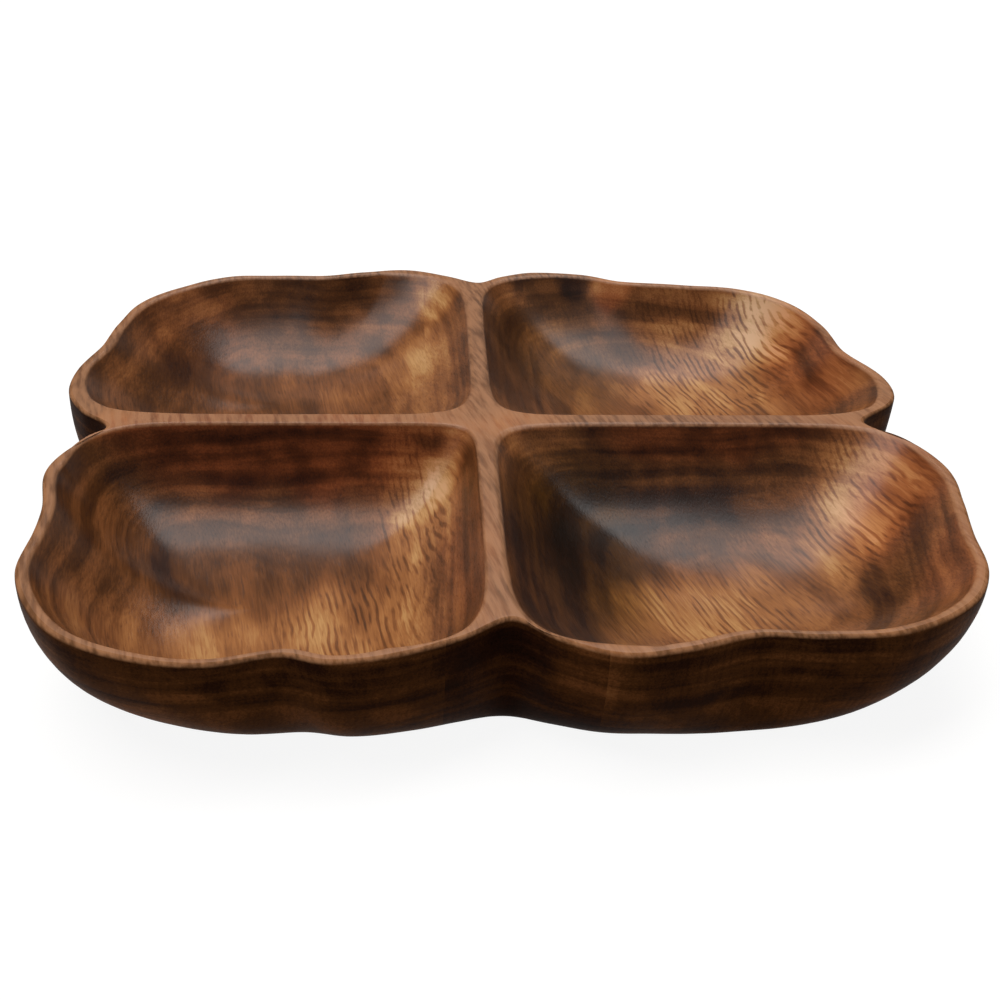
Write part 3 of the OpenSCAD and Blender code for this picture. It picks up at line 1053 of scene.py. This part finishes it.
@dataclass(frozen=True)
class Studio:
    """A pale floor, a dim room with a pale horizon and one large window."""

    floor_size: float = 16.0
    floor_colour: str = "#a9a6a2"
    floor_lift: float = 0.5  # how far the floor's look is taken to plain white; its shadows stay
    floor_white: float = 1.8
    room_glow: float = 0.13
    far_glow: float = 0.03  # the room as reflections show it
    horizon_glow: float = 0.25
    horizon: tuple[float, float] = (0.1, 0.35)  # sines of the heights between which the horizon fades
    window: Softbox = Softbox(
        "window", azimuth=-35.0, elevation=73.0, distance=3.2, wide=5.2, tall=2.5, glow=3.1
    )

    def seen(self, tree: bpy.types.NodeTree) -> Any:
        """Tells what is seen from the light that falls on things.

        Args:
            tree: The node tree that asks.

        Returns:
            1 for the camera and for what reflections and glass show, and 0 for other light.
        """
        path = add(tree, "ShaderNodeLightPath")
        seen = path.outputs["Is Camera Ray"]
        for ray in ("Is Glossy Ray", "Is Transmission Ray"):
            seen = add(tree, "ShaderNodeMath", {0: seen, 1: path.outputs[ray]}, operation="MAXIMUM")
        return seen

    def floor(self) -> None:
        """The floor: pale and matt, and nearly white to the camera and in reflections."""
        half = self.floor_size / 2
        mesh = bpy.data.meshes.new("floor")
        corners = [(-half, -half, 0), (half, -half, 0), (half, half, 0), (-half, half, 0)]
        mesh.from_pydata(corners, [], [(0, 1, 2, 3)])
        floor = bpy.data.objects.new("floor", mesh)
        bpy.context.scene.collection.objects.link(floor)
        made = bpy.data.materials.new("matt_paper_floor")
        made.use_nodes = True
        tree = made.node_tree
        tree.nodes.clear()
        lift = add(tree, "ShaderNodeMath", {0: self.seen(tree), 1: self.floor_lift}, operation="MULTIPLY")
        matt = add(tree, "ShaderNodeBsdfDiffuse", {"Color": linear(self.floor_colour)})
        white = add(tree, "ShaderNodeEmission", {"Color": (1, 1, 1, 1), "Strength": self.floor_white})
        mixed = add(tree, "ShaderNodeMixShader", {0: lift, 1: matt, 2: white})
        add(tree, "ShaderNodeOutputMaterial", {"Surface": mixed})
        mesh.materials.append(made)
        floor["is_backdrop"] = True

    def room(self) -> None:
        """The world: dim light from all around, and a pale horizon that is only seen."""
        world = bpy.data.worlds.new("room")
        bpy.context.scene.world = world
        world.use_nodes = True
        tree = world.node_tree
        tree.nodes.clear()
        towards = add(tree, "ShaderNodeTexCoord").outputs["Generated"]
        rise = add(tree, "ShaderNodeSeparateXYZ", {0: towards}).outputs[2]
        low, high = self.horizon
        pale = add(tree, "ShaderNodeMapRange", {
            "Value": rise, "From Min": low, "From Max": high, "To Min": self.horizon_glow - self.room_glow,
            "To Max": self.far_glow - self.room_glow,
        }, interpolation_type="SMOOTHSTEP")
        glow = add(tree, "ShaderNodeMath", {0: self.seen(tree), 1: pale, 2: self.room_glow},
                   operation="MULTIPLY_ADD")
        back = add(tree, "ShaderNodeBackground", {"Color": (1, 1, 1, 1), "Strength": glow})
        add(tree, "ShaderNodeOutputWorld", {"Surface": back})


BOWLS = [
    BowlForm(-1, -1, depth=32.0, flatness=5.0, end_flatness=2.2, tightness=12.0, roundness=0.1),
    BowlForm(1, -1, depth=31.0, flatness=3.0, end_flatness=3.0, tightness=9.0, roundness=0.6),
    BowlForm(-1, 1, depth=30.0, flatness=3.2, end_flatness=2.1, tightness=8.0, roundness=0.4),
    BowlForm(1, 1, depth=30.0, flatness=3.2, end_flatness=3.2, tightness=9.0, roundness=0.5),
]

LEFT_PLANK = Plank(tone=0.52, red=0.0, fibre_turn=10.0, streaks=0.1)
CENTRE_PLANK = Plank(tone=0.5, red=0.05, fibre_turn=13.0, streaks=0.1)
RIGHT_PLANK = Plank(tone=0.52, red=0.0, fibre_turn=16.0, streaks=0.15)

BOARDS = [
    Board("left_edge_board", LEFT_PLANK, -0.02),
    Board("left_outer_board", LEFT_PLANK, 0.0),
    Board("left_inner_board", LEFT_PLANK, 0.015),
    Board("centre_board", CENTRE_PLANK, 0.0, -0.07),
    Board("right_inner_board", RIGHT_PLANK, 0.01),
    Board("right_outer_board", RIGHT_PLANK, 0.0),
    Board("right_edge_board", RIGHT_PLANK, -0.01),
]

BOWL_MARKS = [
    # Front left bowl
    Mark(Figure.DARK, -82, -18, 54, 24, 0, 0.5),
    Mark(Figure.RED, -80, -9, 60, 12, 0, 0.6),
    Mark(Figure.DARK, -124, -58, 22, 42, 0, 0.35),
    Mark(Figure.DARK, -96, -56, 20, 24, -15, 0.5),
    Mark(Figure.PALE, -98, -33, 14, 12, 0, 0.5),
    Mark(Figure.PALE, -131, -10, 12, 10, 0, 0.5),
    Mark(Figure.PALE, -85, -100, 40, 18, 0, 0.4),
    Mark(Figure.GOLD, -50, -89, 20, 28, 0, 0.8),
    Mark(Figure.GOLD, -28, -40, 13, 34, 4, 0.8),
    # Painted highlight: a pale streak along the crease from the crossing's corner down into the bowl
    Mark(Figure.PALE, -21, -21, 17, 7, 48, 1.3, 0.6),
    Mark(Figure.RED, -12, -75, 6, 60, 0, 0.2),
    # Front right bowl
    Mark(Figure.DARK, 12, -84, 16, 50, 0, 0.8),
    Mark(Figure.DARK, 32, -48, 18, 32, -15, 0.75),
    Mark(Figure.DARK, 62, -13, 50, 18, 0, 0.7),
    Mark(Figure.RED, 60, -6, 60, 9, 0, 0.5),
    Mark(Figure.PALE, 9, -8, 14, 12, 0, 0.6),
    Mark(Figure.DARK, 67, -35, 25, 12, 15, 0.65),
    Mark(Figure.GOLD, 69, -79, 28, 21, 8, 0.65),
    Mark(Figure.DARK, 52, -54, 26, 14, 0, 0.45),
    Mark(Figure.OLIVE, 26, -56, 22, 50, 0, 0.8),
    Mark(Figure.OLIVE, 27, -36, 16, 14, 0, 0.6),
    Mark(Figure.RED, 136, -36, 16, 30, -20, 0.45),
    Mark(Figure.GOLD, 124, -38, 17, 28, -20, 1.0),
    Mark(Figure.DARK, 122, -78, 9, 32, -32, 0.55),
    Mark(Figure.RED, 138, -92, 11, 24, -15, 0.3),
    # Back left bowl
    Mark(Figure.PALE, -52, 92, 38, 18, 0, 0.3),
    Mark(Figure.PALE, -19, 85, 9, 60, 0, 0.5),
    Mark(Figure.PALE, -15, 132, 8, 12, 0, 0.7),
    Mark(Figure.PALE, -120, 109, 12, 20, 0, 0.45),
    Mark(Figure.DARK, -116, 96, 14, 24, 0, 0.4),
    Mark(Figure.RED, -120, 110, 24, 40, 0, 0.15),
    Mark(Figure.DARK, -66, 136, 34, 9, 12, 0.8),
    # Painted shade: a dark band at the foot of the back wall, between the sheens
    Mark(Figure.DARK, -56, 118, 28, 9, 8, 0.7),
    # Back right bowl
    Mark(Figure.DARK, 8, 72, 13, 55, 0, 0.8),
    Mark(Figure.DARK, 56, 106, 20, 10, 0, 0.15),
    Mark(Figure.DARK, 60, 126, 12, 10, -20, 0.3),
    Mark(Figure.OLIVE, 34, 100, 26, 40, 0, 0.6),
    Mark(Figure.DARK, 28, 143, 13, 6, 0, 0.9),
    Mark(Figure.GOLD, 96, 88, 30, 34, 0, 0.9),
    # Partly pale sapwood and partly a painted highlight on the upper right wall
    Mark(Figure.GOLD, 124, 112, 14, 24, 25, 1.1),
    Mark(Figure.PALE, 125, 119, 9, 14, 25, 0.9),
    Mark(Figure.PALE, 142, 52, 10, 14, 0, 0.5),
    Mark(Figure.DARK, 44, 143, 6, 5, 30, 1.3, 0.6),
    Mark(Figure.RED, 136, 78, 16, 40, 0, 0.45),
    Mark(Figure.PALE, 60, 138, 9, 6, -20, 0.9),
    Mark(Figure.RED, 60, 138, 9, 6, -20, 0.5),
]

WALL_MARKS = [
    Mark(Figure.PALE, -110, -120, 50, 40, 0, 0.25),
    Mark(Figure.PALE, 16, -146, 12, 4, -28, 0.6),
]


def main() -> None:
    """Builds the tray around the frame, dresses it and sets up the studio."""
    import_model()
    cad_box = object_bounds()
    low, high = (np.array(corner) / MM for corner in cad_box)
    PhotoCamera().place()
    form = TrayForm(high[0] - low[0], high[1] - low[1], high[2] - low[2])
    skin = Carving(form, BOWLS).skin([board.span()[1] for board in BOARDS[:-1]])
    finish = OiledMonkeypod()
    for board in BOARDS:
        piece = board.saw(skin)
        left, right = (x / MM for x in board.span())
        for outside, marks in ((False, BOWL_MARKS), (True, WALL_MARKS)):
            shift = board.tone_shift + (board.outside_shift if outside else 0.0)
            plank = replace(board.plank, tone=board.plank.tone + shift)
            near = [mark for mark in marks if mark.touches(left, right)]
            shader = WoodShader(board.node, plank, finish, near, form.height, outside)
            piece.data.materials.append(shader.material())
        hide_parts(board.node)
        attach(piece, "root")
        LOG.info("%s: %d faces", piece.name, len(piece.data.polygons))
    studio = Studio()
    studio.floor()
    studio.room()
    studio.window.place()
    bpy.context.scene.view_settings.view_transform = "Standard"


if __name__ == "__main__":
    logging.basicConfig(level=logging.INFO, format="%(message)s")
    main()
